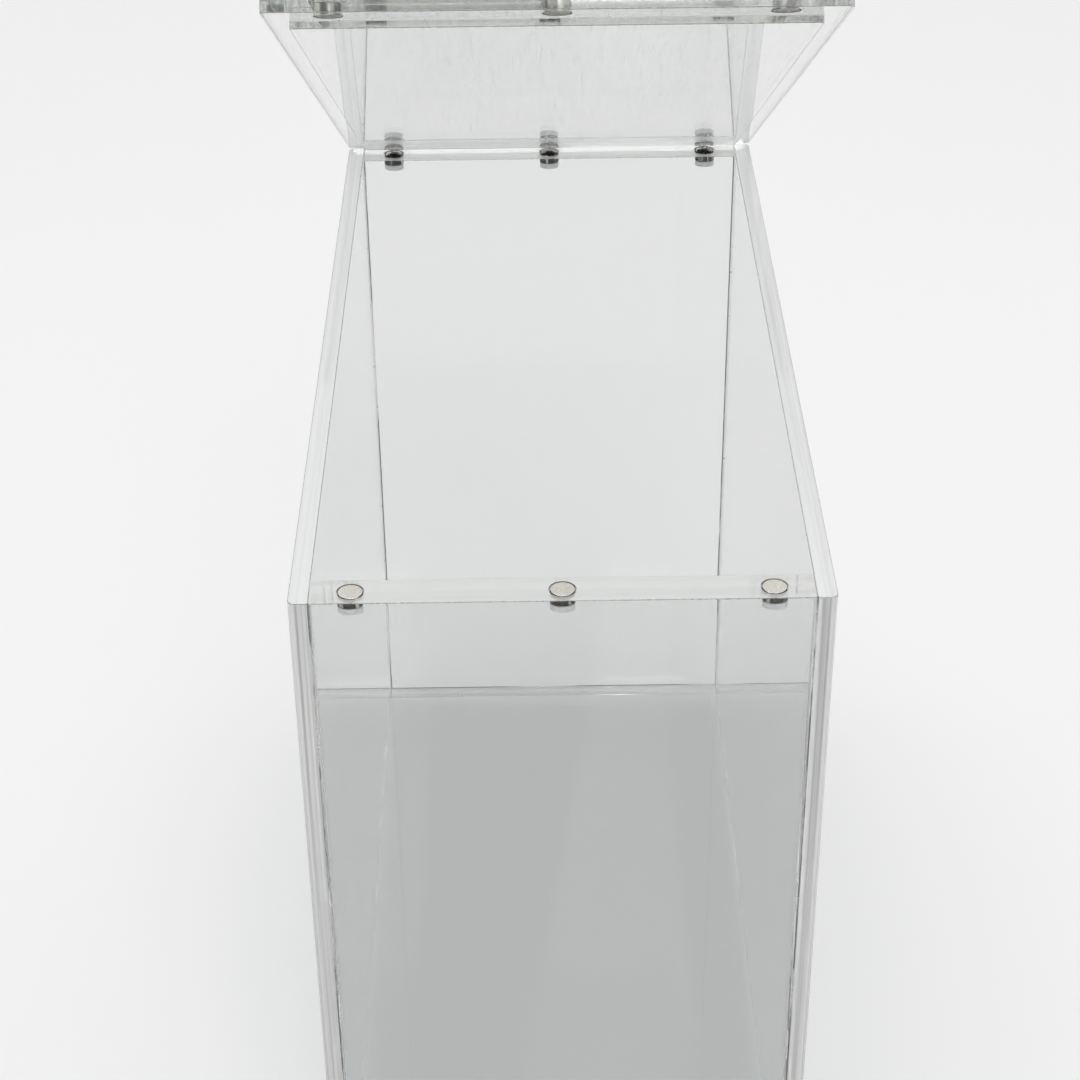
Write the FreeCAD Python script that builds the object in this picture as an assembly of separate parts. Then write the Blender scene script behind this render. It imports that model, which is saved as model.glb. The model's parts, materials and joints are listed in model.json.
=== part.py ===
"""Clear acrylic display box with a loose lid that disc magnets hold shut.

The origin is the centre of the underside, +Z is up and the front wall faces -Y. Left and right are as seen from
the front. The lid is tilted open on the top outer edge of the back wall.
"""
import FreeCAD
import Part
import math
import os

# Display space inside the walls
INNER_WIDTH = 98.0
INNER_LENGTH = 196.0
INNER_HEIGHT = 174.0

# Thickness of the acrylic sheets
SIDE_SHEET = 4.0
END_SHEET = 8.0
BASE_SHEET = 4.0
LID_SHEET = 5.0
LOCATING_SHEET = 1.5

# Rounded upright edges
OUTER_CORNER_RADIUS = 1.5
LOCATING_CORNER_RADIUS = 1.0

# Fit and tilt of the lid
LOCATING_CLEARANCE = 0.5
LID_SEAT_GAP = 0.05
LID_OPEN_ANGLE = 30.4

# Disc magnets in blind holes, seated on a dab of adhesive; the margin is the acrylic left beside the outer holes
MAGNET_DIAMETER = 5.0
MAGNET_THICKNESS = 2.0
MAGNET_EDGE_RADIUS = 0.2
MAGNET_HOLE_CLEARANCE = 0.2
MAGNET_SIDE_MARGIN = 5.3
ADHESIVE_THICKNESS = 1.5

# Sizes and places that follow from those above
OUTER_WIDTH = INNER_WIDTH + 2 * SIDE_SHEET
OUTER_LENGTH = INNER_LENGTH + 2 * END_SHEET
WALL_TOP = BASE_SHEET + INNER_HEIGHT
LID_UNDERSIDE = WALL_TOP + LID_SEAT_GAP
MAGNET_HOLE_RADIUS = MAGNET_DIAMETER / 2 + MAGNET_HOLE_CLEARANCE
MAGNET_HOLE_DEPTH = MAGNET_THICKNESS + ADHESIVE_THICKNESS
MAGNET_ROW_Y = (INNER_LENGTH + END_SHEET) / 2
MAGNET_SPACING = INNER_WIDTH / 2 - MAGNET_SIDE_MARGIN - MAGNET_HOLE_RADIUS
MAGNET_PLACES = {"left": -MAGNET_SPACING, "centre": 0.0, "right": MAGNET_SPACING}
ENDS = {"front": -1, "back": 1}
SIDES = {"left": -1, "right": 1}
UP = FreeCAD.Vector(0, 0, 1)
DOWN = FreeCAD.Vector(0, 0, -1)


def centred_box(centre_x, centre_y, bottom, width, length, height):
    """Box standing on the given height, centred on a point in plan."""
    corner = FreeCAD.Vector(centre_x - width / 2, centre_y - length / 2, bottom)
    return Part.makeBox(width, length, height, corner)


def upright_edges(solid):
    """Straight edges that run along Z."""
    return [edge for edge in solid.Edges if math.isclose(abs(edge.tangentAt(edge.FirstParameter).z), 1.0)]


def sheet(width, length, thickness, bottom, corner_radius):
    """Flat rectangular sheet centred on the Z axis, with rounded upright edges."""
    blank = centred_box(0, 0, bottom, width, length, thickness)
    return blank.makeFillet(corner_radius, upright_edges(blank))


def blind_hole(x, y, mouth, inwards):
    """Drilling that starts at the mouth's height and goes into the sheet."""
    return Part.makeCylinder(MAGNET_HOLE_RADIUS, MAGNET_HOLE_DEPTH, FreeCAD.Vector(x, y, mouth), inwards)


def side_wall(side):
    """Left or right wall, as long as the box, with its outer upright edges rounded."""
    middle = side * (INNER_WIDTH + SIDE_SHEET) / 2
    blank = centred_box(middle, 0, BASE_SHEET, SIDE_SHEET, OUTER_LENGTH, INNER_HEIGHT)
    outer_edges = [edge for edge in upright_edges(blank) if side * (edge.CenterOfMass.x - middle) > 0]
    return blank.makeFillet(OUTER_CORNER_RADIUS, outer_edges)


def end_wall(end):
    """Front or back wall, bonded between the side walls, drilled from above for its magnets."""
    wall = centred_box(0, end * MAGNET_ROW_Y, BASE_SHEET, INNER_WIDTH, END_SHEET, INNER_HEIGHT)
    for x in MAGNET_PLACES.values():
        wall = wall.cut(blind_hole(x, end * MAGNET_ROW_Y, WALL_TOP, DOWN))
    return wall


def lid_panel():
    """Lid as large as the box, drilled from below for its magnets."""
    panel = sheet(OUTER_WIDTH, OUTER_LENGTH, LID_SHEET, LID_UNDERSIDE, OUTER_CORNER_RADIUS)
    for end in ENDS.values():
        for x in MAGNET_PLACES.values():
            panel = panel.cut(blind_hole(x, end * MAGNET_ROW_Y, LID_UNDERSIDE, UP))
    return panel


def locating_plate():
    """Thin plate bonded under the lid, a loose fit between the walls."""
    width = INNER_WIDTH - 2 * LOCATING_CLEARANCE
    length = INNER_LENGTH - 2 * LOCATING_CLEARANCE
    bottom = LID_UNDERSIDE - LOCATING_SHEET
    return sheet(width, length, LOCATING_SHEET, bottom, LOCATING_CORNER_RADIUS)


def magnet(x, y, face, inwards):
    """Disc magnet, flush with the face that its hole opens in, with rounded rims."""
    disc = Part.makeCylinder(MAGNET_DIAMETER / 2, MAGNET_THICKNESS, FreeCAD.Vector(x, y, face), inwards)
    rims = [edge for edge in disc.Edges if edge.isClosed()]
    return disc.makeFillet(MAGNET_EDGE_RADIUS, rims)


def adhesive(x, y, face, inwards):
    """Dab of adhesive between the magnet and the bottom of its hole."""
    seat = FreeCAD.Vector(x, y, face) + inwards * MAGNET_THICKNESS
    return Part.makeCylinder(MAGNET_DIAMETER / 2, ADHESIVE_THICKNESS, seat, inwards)


def magnet_set(prefix, face, inwards):
    """Magnets and adhesive of both ends, by name; prefix holds the place of the end's name."""
    pieces = {}
    for end_name, end in ENDS.items():
        for place_name, x in MAGNET_PLACES.items():
            owner = prefix.format(end_name)
            pieces[f"{owner}_magnet_{place_name}"] = magnet(x, end * MAGNET_ROW_Y, face, inwards)
            pieces[f"{owner}_adhesive_{place_name}"] = adhesive(x, end * MAGNET_ROW_Y, face, inwards)
    return pieces


def box_pieces():
    """Everything that stands on the table."""
    pieces = {"base_panel": sheet(OUTER_WIDTH, OUTER_LENGTH, BASE_SHEET, 0, OUTER_CORNER_RADIUS)}
    for name, end in ENDS.items():
        pieces[f"{name}_wall"] = end_wall(end)
    for name, side in SIDES.items():
        pieces[f"{name}_wall"] = side_wall(side)
    pieces.update(magnet_set("{}_wall", WALL_TOP, DOWN))
    return pieces


def lid_pieces():
    """Everything that moves with the lid, tilted open about the top outer edge of the back wall."""
    pieces = {"lid_panel": lid_panel(), "lid_locating_plate": locating_plate()}
    pieces.update(magnet_set("lid_{}", LID_UNDERSIDE, UP))
    tilt_edge = FreeCAD.Vector(0, OUTER_LENGTH / 2, WALL_TOP)
    opening_axis = FreeCAD.Vector(-1, 0, 0)
    for shape in pieces.values():
        shape.rotate(tilt_edge, opening_axis, LID_OPEN_ANGLE)
    return pieces


os.makedirs("parts", exist_ok=True)
for node, solid in {**box_pieces(), **lid_pieces()}.items():
    solid.exportStep(os.path.join("parts", f"{node}.step"))
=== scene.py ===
"""Looks of a clear acrylic display box with its lid tilted open.

Sheets, disc magnets and dabs of adhesive with their real finish take the place of the plain solids.
The pieces of the lid are shaped while it is shut and tilted afterwards. Lengths are in metres.
"""

import json
import math
from collections import namedtuple
from functools import cache

import bmesh
import bpy
from mathutils import Matrix, Vector, noise


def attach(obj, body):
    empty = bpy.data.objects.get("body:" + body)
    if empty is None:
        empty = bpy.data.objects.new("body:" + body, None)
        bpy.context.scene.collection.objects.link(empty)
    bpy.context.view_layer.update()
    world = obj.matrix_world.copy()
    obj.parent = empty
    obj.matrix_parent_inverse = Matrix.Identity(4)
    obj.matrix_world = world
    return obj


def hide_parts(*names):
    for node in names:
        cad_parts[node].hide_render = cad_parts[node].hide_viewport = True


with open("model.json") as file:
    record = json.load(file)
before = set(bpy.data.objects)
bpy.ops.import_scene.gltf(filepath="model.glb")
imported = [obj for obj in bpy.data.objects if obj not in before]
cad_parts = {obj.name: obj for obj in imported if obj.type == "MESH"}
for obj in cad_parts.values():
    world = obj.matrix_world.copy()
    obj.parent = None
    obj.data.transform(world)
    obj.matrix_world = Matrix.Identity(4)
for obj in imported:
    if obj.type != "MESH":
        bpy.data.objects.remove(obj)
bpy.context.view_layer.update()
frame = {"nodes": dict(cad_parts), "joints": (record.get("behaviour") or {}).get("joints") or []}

MM = 0.001
X, Y, Z = range(3)

# Shape of the sheets
ARRIS_ROUND = 0.15 * MM
ARRIS_STEPS = 3
ARRIS_MARK = 1
CORNER_ROUND = 1.5 * MM
LOCATING_CORNER_ROUND = 1.0 * MM
CORNER_STEPS = 10
SHARP_ANGLE = math.radians(40)
TOLERANCE = 0.001 * MM

# Cement between the sheets, and how far from a joint a face still belongs to it
BOND_FILM = 0.02 * MM
BOND_REACH = 2 * BOND_FILM
SEAM_REACH = 1.5 * ARRIS_ROUND
SEAM_MARGIN = 2 * ARRIS_ROUND

# Holes for the magnets
HOLE_CLEARANCE = 0.2 * MM
HOLE_STEPS = 96
DRILL_OVERSHOOT = 1.0 * MM

# Magnets and dabs of adhesive, with the waves to a metre of their dents and squeezed edges
TURN_STEPS = 72
MAGNET_RIM_ROUND = 0.2 * MM
MAGNET_RIM_STEPS = 4
MAGNET_FACE_RINGS = 4
DENT_DEPTH = 0.03 * MM
DENT_WAVES = Vector((620.0, 620.0, 186.0))
DAB_PLAY = 0.04 * MM
DAB_WAVES = 900.0
DAB_SQUEEZE = 0.05

# Least share of a face's normal along the axis that the face is square to
FLAT_NORMAL = 0.9999
FACING_NORMAL = 0.99

# Greatest upright share of the normal on the round side of a magnet and of a hole
MAGNET_SIDE_NORMAL = 0.9
HOLE_SIDE_NORMAL = 0.5

# Axis across each sheet, radius of its upright outer corners and finish of its edges
Sheet = namedtuple("Sheet", "across corner finish")
SHEETS = {
    "base_panel": Sheet(Z, CORNER_ROUND, "satin"),
    "front_wall": Sheet(Y, None, "polished"),
    "back_wall": Sheet(Y, None, "polished"),
    "left_wall": Sheet(X, CORNER_ROUND, "satin"),
    "right_wall": Sheet(X, CORNER_ROUND, "satin"),
    "lid_panel": Sheet(Z, CORNER_ROUND, "sawn"),
    "lid_locating_plate": Sheet(Z, LOCATING_CORNER_ROUND, "sawn"),
}

# Bonded pairs: the first sheet stands back from the second by the cement film
BONDS = [
    ("front_wall", "left_wall"),
    ("front_wall", "right_wall"),
    ("back_wall", "left_wall"),
    ("back_wall", "right_wall"),
    ("front_wall", "base_panel"),
    ("back_wall", "base_panel"),
    ("left_wall", "base_panel"),
    ("right_wall", "base_panel"),
    ("lid_locating_plate", "lid_panel"),
]

# Rows of magnets in each drilled sheet
DRILLED = {"front_wall": ["front_wall"], "back_wall": ["back_wall"], "lid_panel": ["lid_front", "lid_back"]}
PLACES = ["left", "centre", "right"]

# Tilt of the lid from shut to rest
tilt_joint = frame["joints"][0]
tilt_pivot = Vector(tilt_joint["pos_m"])
open_angle = math.radians(-tilt_joint["range_deg"][0])
LID_TILT = (
    Matrix.Translation(tilt_pivot)
    @ Matrix.Rotation(open_angle, 4, Vector(tilt_joint["axis"]))
    @ Matrix.Translation(-tilt_pivot)
)


def on_lid(node):
    """True for a CAD node of the lid."""
    return node.startswith("lid_")


def shut_box(node):
    """Lowest and highest corner of a CAD node while the lid is shut."""
    back = LID_TILT.inverted() if on_lid(node) else Matrix.Identity(4)
    points = [back @ vertex.co for vertex in frame["nodes"][node].data.vertices]
    low = Vector(min(point[axis] for point in points) for axis in range(3))
    high = Vector(max(point[axis] for point in points) for axis in range(3))
    return low, high


WALL_TOP = shut_box("front_wall")[1].z
LID_LOW, LID_HIGH = shut_box("lid_panel")


# Shader building blocks: patterns are counted to a metre, and spans are stretches of their noise

NOISE_SPAN = (0.3, 0.7)
HAIRLINES_ACROSS = 5200.0
HAIRLINES_ALONG = 70.0
HAIRLINE_SPAN = (0.70, 0.76)


def add(tree, kind, inputs=None, **settings):
    """New node with its settings; its inputs are numbers, colours or links from other sockets."""
    made = tree.nodes.new(kind)
    for name, value in settings.items():
        setattr(made, name, value)
    for name, value in (inputs or {}).items():
        socket = made.inputs[name]
        if isinstance(value, bpy.types.NodeSocket):
            tree.links.new(value, socket)
        elif socket.type == "RGBA":
            socket.default_value = (*value, 1.0)
        else:
            socket.default_value = value
    return made


def new_material(name):
    """Empty material and its node tree."""
    material = bpy.data.materials.new(name)
    material.use_nodes = True
    material.node_tree.nodes.clear()
    return material, material.node_tree


def object_points(tree, scale=(1, 1, 1), turn=(0, 0, 0)):
    """The piece's own coordinates in metres, turned and stretched."""
    place = add(tree, "ShaderNodeTexCoord").outputs["Object"]
    inputs = {"Vector": place, "Scale": scale, "Rotation": turn}
    return add(tree, "ShaderNodeMapping", inputs).outputs["Vector"]


def coordinate(tree, axis):
    """The piece's own coordinate along one axis."""
    return add(tree, "ShaderNodeSeparateXYZ", {"Vector": object_points(tree)}).outputs[axis]


def noise_value(tree, points, scale=1.0, detail=2.0, rough=0.5, bend=0.0):
    """Soft noise between 0 and 1; the scale is how many of its blobs go to a unit of the points."""
    inputs = {"Vector": points, "Scale": scale, "Detail": detail, "Roughness": rough, "Distortion": bend}
    return add(tree, "ShaderNodeTexNoise", inputs).outputs["Fac"]


def fit_range(tree, value, span=NOISE_SPAN, to_span=(0.0, 1.0)):
    """Number carried over from one span to another and held within it."""
    low, high = span
    to_low, to_high = to_span
    inputs = {"Value": value, "From Min": low, "From Max": high, "To Min": to_low, "To Max": to_high}
    return add(tree, "ShaderNodeMapRange", inputs).outputs["Result"]


def arithmetic(tree, operation, first, second=0.0):
    """Outcome of one operation on two numbers."""
    return add(tree, "ShaderNodeMath", {0: first, 1: second}, operation=operation).outputs["Value"]


def blend(tree, factor, first, second):
    """Colour between two colours."""
    return add(tree, "ShaderNodeMix", {0: factor, 6: first, 7: second}, data_type="RGBA").outputs[2]


def between(tree, factor, first, second):
    """Number between two numbers."""
    return add(tree, "ShaderNodeMix", {0: factor, 2: first, 3: second}).outputs[0]


def bump(tree, height, depth):
    """Normal of a surface with a relief of the given depth."""
    inputs = {"Height": height, "Distance": depth, "Strength": 1.0}
    return add(tree, "ShaderNodeBump", inputs).outputs["Normal"]


def hairlines(tree, turn, seed):
    """Sparse fine scratches that run one way, as a height from 0 to 1."""
    scale = (HAIRLINES_ACROSS, HAIRLINES_ALONG, HAIRLINES_ALONG)
    stretched = object_points(tree, scale, (seed, turn, turn * 0.7 + seed))
    return fit_range(tree, noise_value(tree, stretched, detail=1.0), HAIRLINE_SPAN)


def principled(tree, **inputs):
    """Surface with the given sockets, whose names are written with underscores."""
    named = {name.replace("_", " "): value for name, value in inputs.items()}
    return add(tree, "ShaderNodeBsdfPrincipled", named).outputs["BSDF"]


def transparent(tree, shade):
    """Surface that lets light straight through with a shade."""
    return add(tree, "ShaderNodeBsdfTransparent", {"Color": shade}).outputs["BSDF"]


def mix_surfaces(tree, share, first, second):
    """Surface between two surfaces."""
    return add(tree, "ShaderNodeMixShader", {0: share, 1: first, 2: second}).outputs["Shader"]


def set_output(tree, surface):
    """Ends a material in a surface."""
    add(tree, "ShaderNodeOutputMaterial", {"Surface": surface})


def set_clear_output(tree, surface, shade):
    """Ends a material in a surface that lets light reach matt surfaces beyond it with a shade."""
    path = add(tree, "ShaderNodeLightPath")
    passing = arithmetic(tree, "MAXIMUM", path.outputs["Is Shadow Ray"], path.outputs["Is Diffuse Ray"])
    set_output(tree, mix_surfaces(tree, passing, surface, transparent(tree, shade)))


# Clear faces of the sheets

ACRYLIC_IOR = 1.49
FACE_TINT = (0.86, 0.868, 0.866)
FACE_SHADE = (0.875, 0.88, 0.88)
SMEARS = 38.0
SMEAR_SPAN = (0.58, 0.85)
SMEAR_ROUGHNESS = (0.0, 0.05)
SCRATCH_DEPTH = 0.0012 * MM
RIM_WEAR_HEIGHTS = (WALL_TOP - 6.0 * MM, WALL_TOP - 0.5 * MM)
RIM_WEAR = 4.0


def acrylic(tree, colour, roughness, normal, clear=1.0):
    """Acrylic surface; less than fully clear, it is milky where it scatters light."""
    return principled(
        tree,
        Base_Color=colour,
        Roughness=roughness,
        IOR=ACRYLIC_IOR,
        Transmission_Weight=clear,
        Normal=normal,
    )


def face_material():
    """Polished sheet with faint smears, and hairline scratches that are more marked near the rim."""
    material, tree = new_material("acrylic_face")
    smear = noise_value(tree, object_points(tree), SMEARS, detail=4.0, rough=0.6)
    roughness = fit_range(tree, smear, SMEAR_SPAN, SMEAR_ROUGHNESS)
    near_rim = fit_range(tree, coordinate(tree, Z), RIM_WEAR_HEIGHTS, (0.0, RIM_WEAR))
    rim_wear = arithmetic(tree, "MULTIPLY", near_rim, hairlines(tree, turn=0.8, seed=5.0))
    first_way = hairlines(tree, turn=0.6, seed=1.0)
    second_way = hairlines(tree, turn=-0.9, seed=2.0)
    scratches = arithmetic(tree, "ADD", arithmetic(tree, "ADD", first_way, second_way), rim_wear)
    surface = acrylic(tree, FACE_TINT, roughness, bump(tree, scratches, SCRATCH_DEPTH))
    set_clear_output(tree, surface, FACE_SHADE)
    return material


# Cut edges: pale and dark tone, milky share, highest roughness, depth of the relief, streaks to a metre

EdgeLook = namedtuple("EdgeLook", "pale dark milky roughest relief streaks")
EDGE_LOOKS = {
    "satin": EdgeLook((0.97, 0.975, 0.97), (0.90, 0.91, 0.905), 0.68, 0.15, 0.005 * MM, 700.0),
    # Upright edges: the streaks are polishing marks, and their deep dark tone is painted reflection of the
    # bands seen in the rounded corners
    "upright": EdgeLook((0.97, 0.975, 0.968), (0.46, 0.465, 0.46), 0.68, 0.15, 0.005 * MM, 1400.0),
    "polished": EdgeLook((0.97, 0.975, 0.955), (0.90, 0.91, 0.895), 0.46, 0.06, 0.001 * MM, 350.0),
    "sawn": EdgeLook((0.84, 0.86, 0.83), (0.38, 0.40, 0.38), 0.24, 0.06, 0.006 * MM, 500.0),
}
EDGE_SHADE = (0.80, 0.82, 0.815)
EDGE_TONE_SPAN = (0.35, 0.65)
EDGE_ROUGHNESS_SPAN = (0.35, 0.7)
EDGE_LEAST_ROUGHNESS = 0.02
STREAKS_ALONG = 5.0

# Saw marks: how many to a metre each way, over which part of the half length they grow, and their share
SAW_MARKS_ALONG = 1500.0
SAW_MARKS_ACROSS = 160.0
SAW_MARKS_FROM = 0.55
SAW_MARKS_FULL = 0.95
SAW_MARKS_SHARE = (0.25, 1.0)


def streaks(tree, along, to_metre):
    """Polishing streaks along an edge."""
    scale = [to_metre, to_metre, to_metre]
    scale[along] = STREAKS_ALONG
    return noise_value(tree, object_points(tree, scale), detail=1.0)


def saw_marks(tree, along, reach):
    """Wavy marks across an edge and how strongly they show, which grows towards its two ends."""
    scale = [SAW_MARKS_ACROSS, SAW_MARKS_ACROSS, SAW_MARKS_ACROSS]
    scale[along] = SAW_MARKS_ALONG
    marks = noise_value(tree, object_points(tree, scale), bend=0.6)
    from_middle = arithmetic(tree, "ABSOLUTE", coordinate(tree, along))
    growing = (SAW_MARKS_FROM * reach, SAW_MARKS_FULL * reach)
    return marks, fit_range(tree, from_middle, growing, SAW_MARKS_SHARE)


@cache
def edge_material(look_name, along):
    """Cut edge of a sheet that runs along an axis."""
    material, tree = new_material(f"{look_name}_edge_{'xyz'[along]}")
    look = EDGE_LOOKS[look_name]
    pattern = streaks(tree, along, look.streaks)
    if look_name == "sawn":
        marks, share = saw_marks(tree, along, LID_HIGH[along])
        pattern = between(tree, share, pattern, marks)
    colour = blend(tree, fit_range(tree, pattern, EDGE_TONE_SPAN), look.pale, look.dark)
    roughness = fit_range(tree, pattern, EDGE_ROUGHNESS_SPAN, (EDGE_LEAST_ROUGHNESS, look.roughest))
    clear = fit_range(tree, pattern, to_span=(1.0 - 0.75 * look.milky, 1.0 - 1.25 * look.milky))
    surface = acrylic(tree, colour, roughness, bump(tree, pattern, look.relief), clear)
    set_clear_output(tree, surface, EDGE_SHADE)
    return material


# Chamfers and cemented joints

GRAIN_DEPTH = 0.004 * MM
ARRIS_TINT = (0.45, 0.46, 0.455)
ARRIS_SHADE = (0.75, 0.76, 0.755)
ARRIS_GRAIN = 1400.0
ARRIS_ROUGHNESS = (0.2, 0.4)
ARRIS_CLEAR = 0.45
CEMENT = (0.80, 0.805, 0.795)
CEMENT_CLEAR = 0.7
DUST = (0.16, 0.16, 0.155)
DUST_CLEAR = 0.1
OUTER_GROOVE = LID_HIGH.y - 3 * ARRIS_ROUND
SEAM_SHADE = (0.9, 0.905, 0.9)
SEAM_GAPS = 45.0
SEAM_GAP_SPAN = (0.50, 0.60)
SEAM_GRAIN = 900.0
SEAM_ROUGHNESS = (0.25, 0.5)
BOND_SHADE = (0.99, 0.99, 0.99)
BOND_VOIDS = 420.0
BOND_VOID_SPAN = (0.70, 0.74)
BUBBLE_TINT = (0.97, 0.98, 0.98)
BUBBLE_ROUGHNESS = 0.05


def arris_material():
    """Fine sanded chamfer round every sheet."""
    material, tree = new_material("sanded_arris")
    grain = noise_value(tree, object_points(tree), ARRIS_GRAIN)
    roughness = fit_range(tree, grain, to_span=ARRIS_ROUGHNESS)
    surface = acrylic(tree, ARRIS_TINT, roughness, bump(tree, grain, GRAIN_DEPTH), ARRIS_CLEAR)
    set_clear_output(tree, surface, ARRIS_SHADE)
    return material


def seam_material():
    """Groove along a joint, full of pale cement, with dust in gaps where it opens to the front or back."""
    material, tree = new_material("cement_seam")
    from_middle = arithmetic(tree, "ABSOLUTE", coordinate(tree, Y))
    opened = arithmetic(tree, "GREATER_THAN", from_middle, OUTER_GROOVE)
    filling = noise_value(tree, object_points(tree), SEAM_GAPS, detail=3.0, rough=0.6)
    gaps = fit_range(tree, filling, SEAM_GAP_SPAN, (1.0, 0.0))
    dusty = arithmetic(tree, "MULTIPLY", gaps, opened)
    colour = blend(tree, dusty, CEMENT, DUST)
    grain = noise_value(tree, object_points(tree), SEAM_GRAIN)
    roughness = fit_range(tree, grain, to_span=SEAM_ROUGHNESS)
    clear = between(tree, dusty, CEMENT_CLEAR, DUST_CLEAR)
    surface = acrylic(tree, colour, roughness, bump(tree, grain, GRAIN_DEPTH), clear)
    set_clear_output(tree, surface, SEAM_SHADE)
    return material


def bond_material():
    """Cement film that joins two sheets without a break, apart from small voids."""
    material, tree = new_material("acrylic_bond")
    voids = fit_range(tree, noise_value(tree, object_points(tree), BOND_VOIDS), BOND_VOID_SPAN)
    bubble = principled(
        tree,
        Base_Color=BUBBLE_TINT,
        Roughness=BUBBLE_ROUGHNESS,
        IOR=ACRYLIC_IOR,
        Transmission_Weight=1.0,
    )
    surface = mix_surfaces(tree, voids, transparent(tree, BOND_SHADE), bubble)
    set_clear_output(tree, surface, BOND_SHADE)
    return material


# Drilled holes, whose mouths lie at the joint between the walls and the shut lid

HOLE_MOUTH = (WALL_TOP + LID_LOW.z) / 2
HOLE_TINT = (0.97, 0.975, 0.972)
HOLE_SHADE = (0.95, 0.955, 0.95)
# Painted shade: dark colours of a band at the hole's mouth that stands for the shade in the gap round the
# magnet
GAP_SHADE_DARK = (0.09, 0.08, 0.07)
GAP_SHADE_PALE = (0.16, 0.145, 0.12)
GAP_SHADE_ROUGHNESS = 0.6
GAP_SHADE_SPOTS = 1300.0
GAP_SHADE_REACH = (0.25 * MM, 0.55 * MM)


def hole_material():
    """Wall of a drilled hole, wetted clear by the adhesive, with painted shade in a dark band at its mouth
    for the gap round the magnet.
    """
    material, tree = new_material("acrylic_hole")
    above_mouth = arithmetic(tree, "SUBTRACT", coordinate(tree, Z), HOLE_MOUTH)
    from_mouth = arithmetic(tree, "ABSOLUTE", above_mouth)
    uneven = noise_value(tree, object_points(tree), GAP_SHADE_SPOTS)
    # Painted shade: the band's width at the mouth varies with the noise
    gap_shade = arithmetic(tree, "LESS_THAN", from_mouth, fit_range(tree, uneven, to_span=GAP_SHADE_REACH))
    colour = blend(tree, uneven, GAP_SHADE_DARK, GAP_SHADE_PALE)
    painted_gap_shade = principled(tree, Base_Color=colour, Roughness=GAP_SHADE_ROUGHNESS)
    surface = mix_surfaces(tree, gap_shade, transparent(tree, HOLE_TINT), painted_gap_shade)
    set_clear_output(tree, surface, HOLE_SHADE)
    return material


# Magnets and adhesive

PLATE_RELIEF = 0.01 * MM
PLATE_WEAR = 900.0
PLATE_PITS = 1700.0
PLATE_PIT_SPAN = (0.60, 0.70)
PLATE_ROUGHNESS = (0.18, 0.38)
# Painted dark reflection on the round sides of the magnets, under pale streaks that are painted highlights
PAINTED_DARK_REFLECTION = (0.05, 0.048, 0.044)
STREAKS_UPRIGHT = 90.0
STREAK_FADE = 0.12
ADHESIVE_DULL = (0.74, 0.76, 0.75)
ADHESIVE_PALE = (0.93, 0.94, 0.93)
ADHESIVE_CLOUDS = 700.0
ADHESIVE_ROUGHNESS = (0.35, 0.6)
ADHESIVE_RELIEF = 0.03 * MM


def set_nickel_output(tree, colour, roughness, height):
    """Ends a material in nickel plate."""
    normal = bump(tree, height, PLATE_RELIEF)
    set_output(tree, principled(tree, Base_Color=colour, Metallic=1.0, Roughness=roughness, Normal=normal))


def nickel_face_material(look, pale, dark):
    """Flat end of a magnet in nickel plate, handled and scratched."""
    material, tree = new_material(f"{look}_nickel_face")
    worn = noise_value(tree, object_points(tree), PLATE_WEAR, detail=4.0, rough=0.6)
    pits = fit_range(tree, noise_value(tree, object_points(tree), PLATE_PITS, detail=1.0), PLATE_PIT_SPAN)
    first_way = hairlines(tree, turn=0.4, seed=3.0)
    second_way = hairlines(tree, turn=-1.1, seed=4.0)
    lines = arithmetic(tree, "ADD", first_way, second_way)
    height = arithmetic(tree, "ADD", arithmetic(tree, "SUBTRACT", lines, pits), worn)
    colour = blend(tree, fit_range(tree, worn), pale, dark)
    set_nickel_output(tree, colour, fit_range(tree, worn, to_span=PLATE_ROUGHNESS), height)
    return material


def nickel_side_material(look, pale, to_metre, level, roughest):
    """Round side of a magnet: a painted dark reflection with upright streaks, pale as painted highlights
    where their noise is above a level.
    """
    material, tree = new_material(f"{look}_nickel_side")
    streak = noise_value(tree, object_points(tree, (to_metre, to_metre, STREAKS_UPRIGHT)))
    painted_highlight_share = fit_range(tree, streak, (level, level + STREAK_FADE))
    colour = blend(tree, painted_highlight_share, PAINTED_DARK_REFLECTION, pale)
    roughness = fit_range(tree, streak, to_span=(0.5 * roughest, roughest))
    set_nickel_output(tree, colour, roughness, streak)
    return material


def adhesive_material():
    """Cured adhesive, milky and uneven."""
    material, tree = new_material("cured_adhesive")
    cloud = noise_value(tree, object_points(tree), ADHESIVE_CLOUDS, detail=3.0)
    colour = blend(tree, fit_range(tree, cloud), ADHESIVE_DULL, ADHESIVE_PALE)
    roughness = fit_range(tree, cloud, to_span=ADHESIVE_ROUGHNESS)
    normal = bump(tree, cloud, ADHESIVE_RELIEF)
    set_output(tree, principled(tree, Base_Color=colour, Roughness=roughness, Normal=normal))
    return material


FACE = face_material()
ARRIS = arris_material()
SEAM = seam_material()
BOND = bond_material()
HOLE = hole_material()
ADHESIVE = adhesive_material()

# Face and side of the magnets in each row: the plate's own bright tone on the front rim faces, painted shade
# on the faces of the other rows, and painted dark reflection with pale streaks as painted highlights on
# every round side
BRIGHT_FACE = nickel_face_material("bright", (0.97, 0.94, 0.86), (0.82, 0.78, 0.70))
# Painted shade: the faces of the lid's front magnets look down and are darkened in colour
PAINTED_SHADE_FACE = nickel_face_material("painted_shade", (0.50, 0.49, 0.46), (0.24, 0.235, 0.225))
# Painted shade: the faces of the back rows and the lid's back row are made nearly black in colour
PAINTED_DEEP_SHADE_FACE = nickel_face_material("dark", (0.20, 0.195, 0.18), (0.05, 0.049, 0.046))
# Painted highlights: pale upright bands over a painted dark reflection on the lid's front magnets
PAINTED_HIGHLIGHT_SIDE = nickel_side_material("painted_highlight", (0.98, 0.95, 0.88), to_metre=420.0, level=0.48, roughest=0.6)
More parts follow.
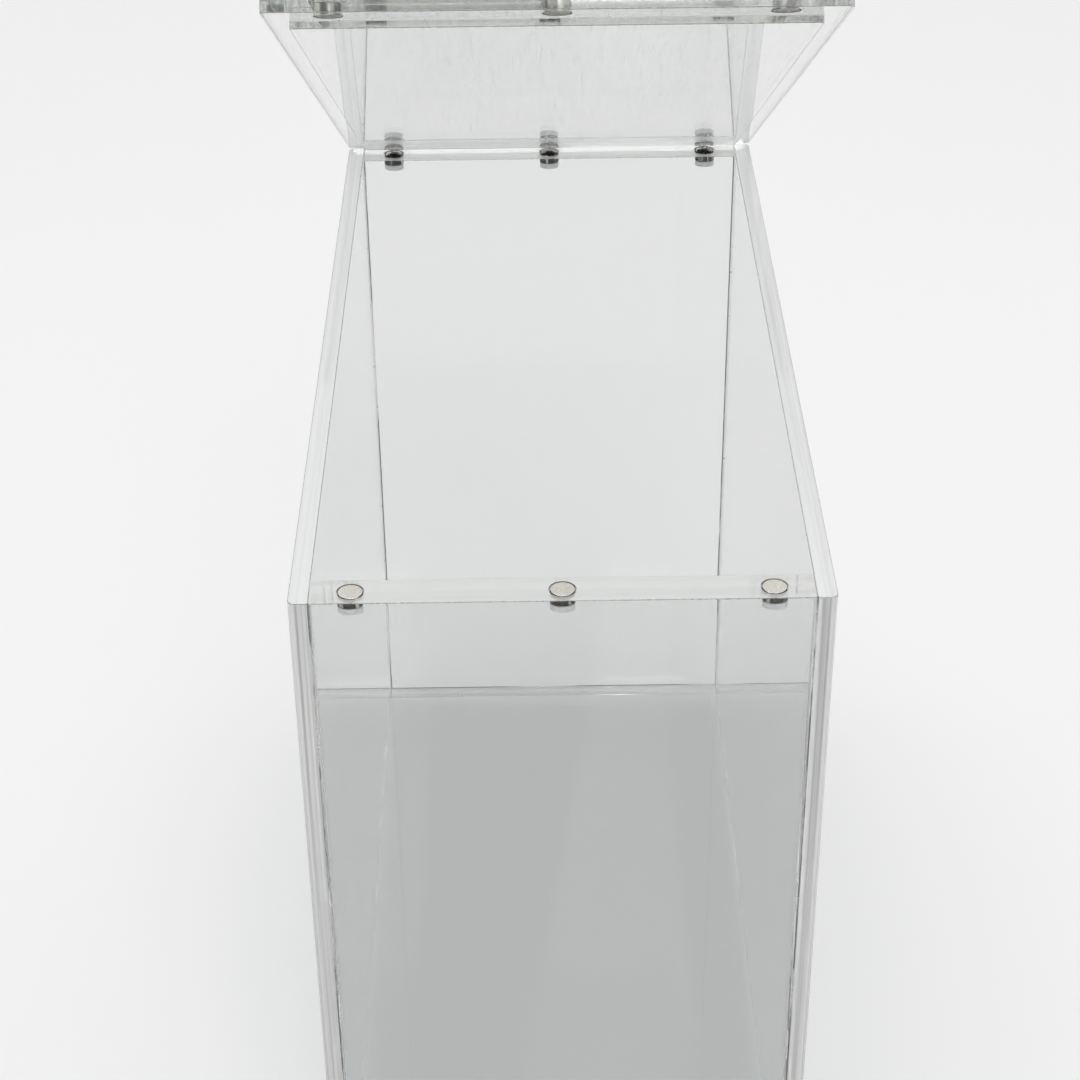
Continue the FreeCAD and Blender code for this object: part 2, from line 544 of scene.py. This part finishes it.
# Painted shade: dark round sides with a few pale streaks as painted highlights
PAINTED_SHADE_SIDE = nickel_side_material("dark", (0.62, 0.59, 0.53), to_metre=900.0, level=0.54, roughest=0.3)
PLATING = {
    "front_wall": (BRIGHT_FACE, PAINTED_SHADE_SIDE),
    "back_wall": (PAINTED_DEEP_SHADE_FACE, PAINTED_SHADE_SIDE),
    "lid_front": (PAINTED_SHADE_FACE, PAINTED_HIGHLIGHT_SIDE),
    "lid_back": (PAINTED_DEEP_SHADE_FACE, PAINTED_SHADE_SIDE),
}


# Pieces


def place_piece(name, data, node):
    """Adds a finished piece in place of a CAD node, on the body that carries it."""
    piece = bpy.data.objects.new(name, data)
    bpy.context.scene.collection.objects.link(piece)
    if on_lid(node):
        piece.matrix_world = LID_TILT
    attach(piece, "lid" if on_lid(node) else "box")
    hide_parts(node)


def shared_face(first, second):
    """Lowest and highest corner of the face in which two sheets meet, and the axis across it."""
    first_low, first_high = shut_box(first)
    second_low, second_high = shut_box(second)
    low = Vector(map(max, first_low, second_low))
    high = Vector(map(min, first_high, second_high))
    across = min(range(3), key=lambda axis: abs(high[axis] - low[axis]))
    return low, high, across


def bonds_of(node):
    """Shared faces of a sheet's cemented joints."""
    return [shared_face(*pair) for pair in BONDS if node in pair]


def sheet_box(node):
    """Box of a sheet, with the faces that stand on a cement film drawn back by it."""
    low, high = shut_box(node)
    for first, second in BONDS:
        if first == node:
            face_low, _, across = shared_face(first, second)
            if abs(face_low[across] - low[across]) < abs(face_low[across] - high[across]):
                low[across] += BOND_FILM
            else:
                high[across] -= BOND_FILM
    return low, high


def blank_sheet(low, high):
    """Plain block between two corners."""
    mesh = bmesh.new()
    bmesh.ops.create_cube(mesh, size=1.0, matrix=Matrix.LocRotScale((low + high) / 2, None, high - low))
    return mesh


def outer_uprights(mesh, low, high):
    """Upright edges that stand furthest from the middle plane of the box."""
    reach = max(abs(low.x), abs(high.x))
    found = []
    for edge in mesh.edges:
        first, second = (vertex.co for vertex in edge.verts)
        upright = abs(first.x - second.x) < TOLERANCE and abs(first.y - second.y) < TOLERANCE
        if upright and abs(abs(first.x) - reach) < TOLERANCE:
            found.append(edge)
    return found


def round_edges(mesh, edges, radius, steps):
    """Rounds the edges and returns the new faces."""
    rounded = bmesh.ops.bevel(mesh, geom=edges, offset=radius, segments=steps, profile=0.5, affect="EDGES")
    return rounded["faces"]


def sharp_edges(mesh):
    """Edges at which two faces meet at a marked angle."""
    return [edge for edge in mesh.edges if edge.calc_face_angle(0.0) > SHARP_ANGLE]


def cut_across(mesh, axis, place):
    """Splits all faces at a plane across an axis."""
    point = Vector((0, 0, 0))
    point[axis] = place
    normal = Vector((0, 0, 0))
    normal[axis] = 1.0
    everything = mesh.verts[:] + mesh.edges[:] + mesh.faces[:]
    bmesh.ops.bisect_plane(mesh, geom=everything, plane_co=point, plane_no=normal)


def cut_along_bonds(mesh, low, high, bonds):
    """Splits the sheet's faces at the rims of its bonded areas."""
    for bond_low, bond_high, across in bonds:
        for axis in range(3):
            if axis == across:
                continue
            for rim in (bond_low[axis], bond_high[axis]):
                if low[axis] + ARRIS_ROUND < rim < high[axis] - ARRIS_ROUND:
                    cut_across(mesh, axis, rim)


def near_bond(centre, bond, reach, margin):
    """True for a point within reach of a bonded area's plane, over the area or within a margin round it."""
    low, high, across = bond
    along = [axis for axis in range(3) if axis != across]
    over = all(low[axis] - margin <= centre[axis] <= high[axis] + margin for axis in along)
    return over and abs(centre[across] - low[across]) < reach


def is_bonded(face, bonds):
    """True for a face that lies on a cement film."""
    centre = face.calc_center_median()
    for bond in bonds:
        across = bond[2]
        if abs(face.normal[across]) > FACING_NORMAL and near_bond(centre, bond, BOND_REACH, TOLERANCE):
            return True
    return False


def is_seam(face, bonds):
    """True for a chamfer face beside a cemented joint."""
    centre = face.calc_center_median()
    return any(near_bond(centre, bond, SEAM_REACH, SEAM_MARGIN) for bond in bonds)


def edge_length_axis(face, flat, across_sheet):
    """Axis that an edge face of the sheet runs along, also round an upright corner."""
    if not flat:
        return min(range(3), key=lambda axis: abs(face.normal[axis]))
    facing = max(range(3), key=lambda axis: abs(face.normal[axis]))
    return next(axis for axis in range(3) if axis not in (facing, across_sheet))


def edge_finish(finish, along):
    """Material of a cut edge; on satin sheets the upright edges are more streaked than the others, with dark
    streaks that are partly polishing marks and partly painted reflection.
    """
    look_name = "upright" if finish == "satin" and along == Z else finish
    return edge_material(look_name, along)


def paint(mesh, data, sheet, bonds):
    """Gives every face its material, and smooth shading where it is round."""
    used = []
    for face in mesh.faces:
        flat = max(abs(component) for component in face.normal) > FLAT_NORMAL
        face.smooth = not flat
        if is_bonded(face, bonds):
            material = BOND
        elif face.material_index == ARRIS_MARK:
            material = SEAM if is_seam(face, bonds) else ARRIS
        elif abs(face.normal[sheet.across]) > FACING_NORMAL:
            material = FACE
        else:
            material = edge_finish(sheet.finish, edge_length_axis(face, flat, sheet.across))
        if material not in used:
            used.append(material)
            data.materials.append(material)
        face.material_index = used.index(material)


def drill_cutter(node):
    """Cylinders of all the magnet holes in a sheet, as one mesh object."""
    cutter = bmesh.new()
    for row in DRILLED[node]:
        for place in PLACES:
            magnet_low, magnet_high = shut_box(f"{row}_magnet_{place}")
            glue_low, glue_high = shut_box(f"{row}_adhesive_{place}")
            opens_upward = glue_low.z < magnet_low.z
            low = glue_low.z if opens_upward else magnet_low.z - DRILL_OVERSHOOT
            high = magnet_high.z + DRILL_OVERSHOOT if opens_upward else glue_high.z
            radius = (magnet_high.x - magnet_low.x) / 2 + HOLE_CLEARANCE
            centre = (magnet_low + magnet_high) / 2
            centre.z = (low + high) / 2
            bmesh.ops.create_cone(cutter, cap_ends=True, segments=HOLE_STEPS, radius1=radius, radius2=radius,
                                  depth=high - low, matrix=Matrix.Translation(centre))
    data = bpy.data.meshes.new("drill")
    cutter.to_mesh(data)
    cutter.free()
    return bpy.data.objects.new("drill", data)


def drilled(data, node):
    """The sheet's mesh with its magnet holes, their walls in the drilled look."""
    blank = bpy.data.objects.new("blank", data)
    cutter = drill_cutter(node)
    bpy.context.scene.collection.objects.link(blank)
    bpy.context.scene.collection.objects.link(cutter)
    hole_index = len(data.materials)
    data.materials.append(HOLE)
    for material in data.materials:
        cutter.data.materials.append(material)
    for polygon in cutter.data.polygons:
        polygon.use_smooth = abs(polygon.normal.z) < HOLE_SIDE_NORMAL
        polygon.material_index = hole_index
    cut = blank.modifiers.new("holes", "BOOLEAN")
    cut.object = cutter
    cut.operation = "DIFFERENCE"
    cut.solver = "EXACT"
    graph = bpy.context.evaluated_depsgraph_get()
    result = bpy.data.meshes.new_from_object(blank.evaluated_get(graph))
    bpy.data.objects.remove(blank)
    bpy.data.objects.remove(cutter)
    return result


def make_sheet(node):
    """Detailed sheet in place of a CAD panel."""
    sheet = SHEETS[node]
    low, high = sheet_box(node)
    bonds = bonds_of(node)
    mesh = blank_sheet(low, high)
    if sheet.corner:
        round_edges(mesh, outer_uprights(mesh, low, high), sheet.corner, CORNER_STEPS)
    for face in round_edges(mesh, sharp_edges(mesh), ARRIS_ROUND, ARRIS_STEPS):
        face.material_index = ARRIS_MARK
    cut_along_bonds(mesh, low, high, bonds)
    mesh.normal_update()
    data = bpy.data.meshes.new(f"{node}_sheet")
    paint(mesh, data, sheet, bonds)
    mesh.to_mesh(data)
    mesh.free()
    if node in DRILLED:
        data = drilled(data, node)
    place_piece(f"{node}_sheet", data, node)


def ring_of(mesh, radius, height, centre):
    """Vertices of a level circle, or the one on the axis where the radius is nil."""
    if radius == 0.0:
        return [mesh.verts.new((centre.x, centre.y, height))]
    ring = []
    for step in range(TURN_STEPS):
        angle = 2 * math.pi * step / TURN_STEPS
        x = centre.x + radius * math.cos(angle)
        y = centre.y + radius * math.sin(angle)
        ring.append(mesh.verts.new((x, y, height)))
    return ring


def turned(profile, centre):
    """Surface of revolution about an upright axis, from a profile of radius and height."""
    mesh = bmesh.new()
    rings = [ring_of(mesh, radius, height, centre) for radius, height in profile]
    for lower, upper in zip(rings, rings[1:]):
        for step in range(TURN_STEPS):
            after = (step + 1) % TURN_STEPS
            below = [lower[step % len(lower)], lower[after % len(lower)]]
            above = [upper[after % len(upper)], upper[step % len(upper)]]
            face = mesh.faces.new(list(dict.fromkeys(below + above)))
            face.smooth = True
    return mesh


def turned_solid(profile, centre):
    """Solid of revolution, from a profile that starts and ends on the axis."""
    mesh = turned(profile, centre)
    bmesh.ops.recalc_face_normals(mesh, faces=mesh.faces[:])
    return mesh


def magnet_profile(low, high, radius):
    """Half outline of a disc with rounded rims, with rings on both ends for the dents."""
    flat = radius - MAGNET_RIM_ROUND
    half = [(flat * ring / MAGNET_FACE_RINGS, 0.0) for ring in range(MAGNET_FACE_RINGS + 1)]
    for step in range(1, MAGNET_RIM_STEPS + 1):
        angle = math.pi / 2 * step / MAGNET_RIM_STEPS
        half.append((flat + MAGNET_RIM_ROUND * math.sin(angle), MAGNET_RIM_ROUND * (1 - math.cos(angle))))
    lower = [(reach, low + rise) for reach, rise in half]
    upper = [(reach, high - rise) for reach, rise in reversed(half)]
    return lower + upper


def dent(mesh, low, high):
    """Presses shallow dents into both ends, never outward."""
    for vertex in mesh.verts:
        depth = DENT_DEPTH * max(0.0, noise.noise(vertex.co * DENT_WAVES))
        if vertex.co.z > high - TOLERANCE:
            vertex.co.z -= depth
        elif vertex.co.z < low + TOLERANCE:
            vertex.co.z += depth


def make_magnet(node):
    """Disc magnet with dented ends."""
    low, high = shut_box(node)
    radius = (high.x - low.x) / 2
    mesh = turned_solid(magnet_profile(low.z, high.z, radius), (low + high) / 2)
    dent(mesh, low.z, high.z)
    mesh.normal_update()
    data = bpy.data.meshes.new(f"{node}_disc")
    row = node.split("_magnet_")[0]
    for material in PLATING[row]:
        data.materials.append(material)
    for face in mesh.faces:
        face.material_index = 1 if abs(face.normal.z) < MAGNET_SIDE_NORMAL else 0
    mesh.to_mesh(data)
    mesh.free()
    place_piece(f"{node}_disc", data, node)


def dab_profile(bottom, top, radius):
    """Half outline of a dab with blunt edges, with rings on its ends and side for the squeeze."""
    height = top - bottom
    blunt = 0.08 * height
    inner = 0.5 * radius
    outer = 0.94 * radius
    lower = [(0.0, bottom), (inner, bottom), (outer, bottom), (radius, bottom + blunt)]
    side = [(radius, bottom + share * height) for share in (0.3, 0.5, 0.7)]
    upper = [(radius, top - blunt), (outer, top), (inner, top), (0.0, top)]
    return lower + side + upper


def make_adhesive(node):
    """Dab of adhesive squeezed out to the wall of its hole."""
    low, high = shut_box(node)
    centre = (low + high) / 2
    radius = (high.x - low.x) / 2 - DAB_PLAY
    mesh = turned_solid(dab_profile(low.z + DAB_PLAY, high.z - DAB_PLAY, radius), centre)
    for vertex in mesh.verts:
        offset = vertex.co - centre
        squeeze = 1.0 - DAB_SQUEEZE * max(0.0, noise.noise(vertex.co * DAB_WAVES))
        vertex.co.x = centre.x + offset.x * squeeze
        vertex.co.y = centre.y + offset.y * squeeze
    data = bpy.data.meshes.new(f"{node}_dab")
    data.materials.append(ADHESIVE)
    mesh.to_mesh(data)
    mesh.free()
    place_piece(f"{node}_dab", data, node)


for node in frame["nodes"]:
    if node in SHEETS:
        make_sheet(node)
    elif "_magnet_" in node:
        make_magnet(node)
    elif "_adhesive_" in node:
        make_adhesive(node)


# Floor that curves up into a low backdrop

FLOOR_DROP = -0.3 * MM
FLOOR_RADIUS = 2.2
FLOOR_DULL = (0.915, 0.915, 0.913)
FLOOR_PALE = (0.935, 0.935, 0.933)
FLOOR_CLOUDS = 3.0
FLOOR_ROUGHNESS = 0.9
COVE_RADIUS = 1.5
COVE_ANGLE = math.radians(65)
COVE_STEPS = 16


def floor_material():
    """Plain pale matt paint."""
    material, tree = new_material("pale_floor")
    cloud = noise_value(tree, object_points(tree), FLOOR_CLOUDS)
    colour = blend(tree, cloud, FLOOR_DULL, FLOOR_PALE)
    set_output(tree, principled(tree, Base_Color=colour, Roughness=FLOOR_ROUGHNESS))
    return material


def add_floor():
    """Round floor that curves up into a low backdrop all round."""
    profile = [(0.0, FLOOR_DROP), (FLOOR_RADIUS, FLOOR_DROP)]
    for step in range(1, COVE_STEPS + 1):
        angle = COVE_ANGLE * step / COVE_STEPS
        reach = FLOOR_RADIUS + COVE_RADIUS * math.sin(angle)
        profile.append((reach, FLOOR_DROP + COVE_RADIUS * (1 - math.cos(angle))))
    mesh = turned(profile, Vector((0, 0, 0)))
    data = bpy.data.meshes.new("floor")
    mesh.to_mesh(data)
    mesh.free()
    data.materials.append(floor_material())
    stage = bpy.data.objects.new("floor", data)
    bpy.context.scene.collection.objects.link(stage)


# Light: brightness of the studio round the box, where its parts pass into one another, and the lamps

FRONT_WALL_LIGHT = 0.08
BACK_WALL_LIGHT = 0.75
HORIZON_LIGHT = 0.7
CEILING_LIGHT = 0.5
FRONT_TO_BACK = (-0.6, 0.6)
HORIZON_TO_WALL = (0.06, 0.20)
WALL_TO_CEILING = (0.64, 0.84)
LIT_POINT = Vector((0, 0, 0.1))
KEY_PLACE = Vector((-0.15, 0.25, 3.4))
FILL_PLACE = Vector((0.6, -2.2, 2.3))


def add_world():
    """Pale band round the horizon, a bright wall behind, dark walls in front and a light ceiling."""
    studio = bpy.data.worlds.new("studio")
    studio.use_nodes = True
    tree = studio.node_tree
    tree.nodes.clear()
    direction = add(tree, "ShaderNodeTexCoord").outputs["Generated"]
    parts = add(tree, "ShaderNodeSeparateXYZ", {"Vector": direction}).outputs
    walls = fit_range(tree, parts["Y"], FRONT_TO_BACK, (FRONT_WALL_LIGHT, BACK_WALL_LIGHT))
    horizon_share = fit_range(tree, parts["Z"], HORIZON_TO_WALL, (1.0, 0.0))
    ceiling_share = fit_range(tree, parts["Z"], WALL_TO_CEILING)
    below_ceiling = between(tree, horizon_share, walls, HORIZON_LIGHT)
    level = between(tree, ceiling_share, below_ceiling, CEILING_LIGHT)
    background = add(tree, "ShaderNodeBackground", {"Color": level}).outputs["Background"]
    add(tree, "ShaderNodeOutputWorld", {"Surface": background})
    bpy.context.scene.world = studio


def add_softbox(name, place, width, power):
    """Square lamp that faces the box and stays out of the picture."""
    light = bpy.data.lights.new(name, "AREA")
    light.shape = "SQUARE"
    light.size = width
    light.energy = power
    lamp = bpy.data.objects.new(name, light)
    facing = (LIT_POINT - place).to_track_quat("-Z", "Y").to_matrix().to_4x4()
    lamp.matrix_world = Matrix.Translation(place) @ facing
    lamp.visible_camera = False
    bpy.context.scene.collection.objects.link(lamp)


def set_light_paths():
    """Enough bounces for light that runs along inside the sheets, and no caustics."""
    cycles = bpy.context.scene.cycles
    cycles.max_bounces = 96
    cycles.glossy_bounces = 96
    cycles.transmission_bounces = 64
    cycles.transparent_max_bounces = 64
    cycles.caustics_refractive = False
    cycles.caustics_reflective = False


# Camera at the photograph's view

CAMERA_PLACE = Vector((-5.5, -483.2, 439.8)) * MM
CAMERA_YAW = math.radians(0.19)
CAMERA_PITCH = math.radians(33.3)
CAMERA_ROLL = math.radians(0.64)
CAMERA_LENS = 79.8
CAMERA_SENSOR = 36.0
CAMERA_NEAREST = 10 * MM


def add_camera():
    """Camera that looks down at the box from in front of a short end."""
    lens = bpy.data.cameras.new("camera")
    lens.lens = CAMERA_LENS
    lens.sensor_width = CAMERA_SENSOR
    lens.clip_start = CAMERA_NEAREST
    viewer = bpy.data.objects.new("camera", lens)
    viewer.matrix_world = (
        Matrix.Translation(CAMERA_PLACE)
        @ Matrix.Rotation(-CAMERA_YAW, 4, "Z")
        @ Matrix.Rotation(math.pi / 2 - CAMERA_PITCH, 4, "X")
        @ Matrix.Rotation(-CAMERA_ROLL, 4, "Z")
    )
    bpy.context.scene.collection.objects.link(viewer)
    bpy.context.scene.camera = viewer


add_floor()
add_world()
add_softbox("key_softbox", KEY_PLACE, width=2.2, power=54.0)
add_softbox("fill_softbox", FILL_PLACE, width=1.2, power=18.0)
add_camera()
set_light_paths()
bpy.context.scene.view_settings.view_transform = "Standard"
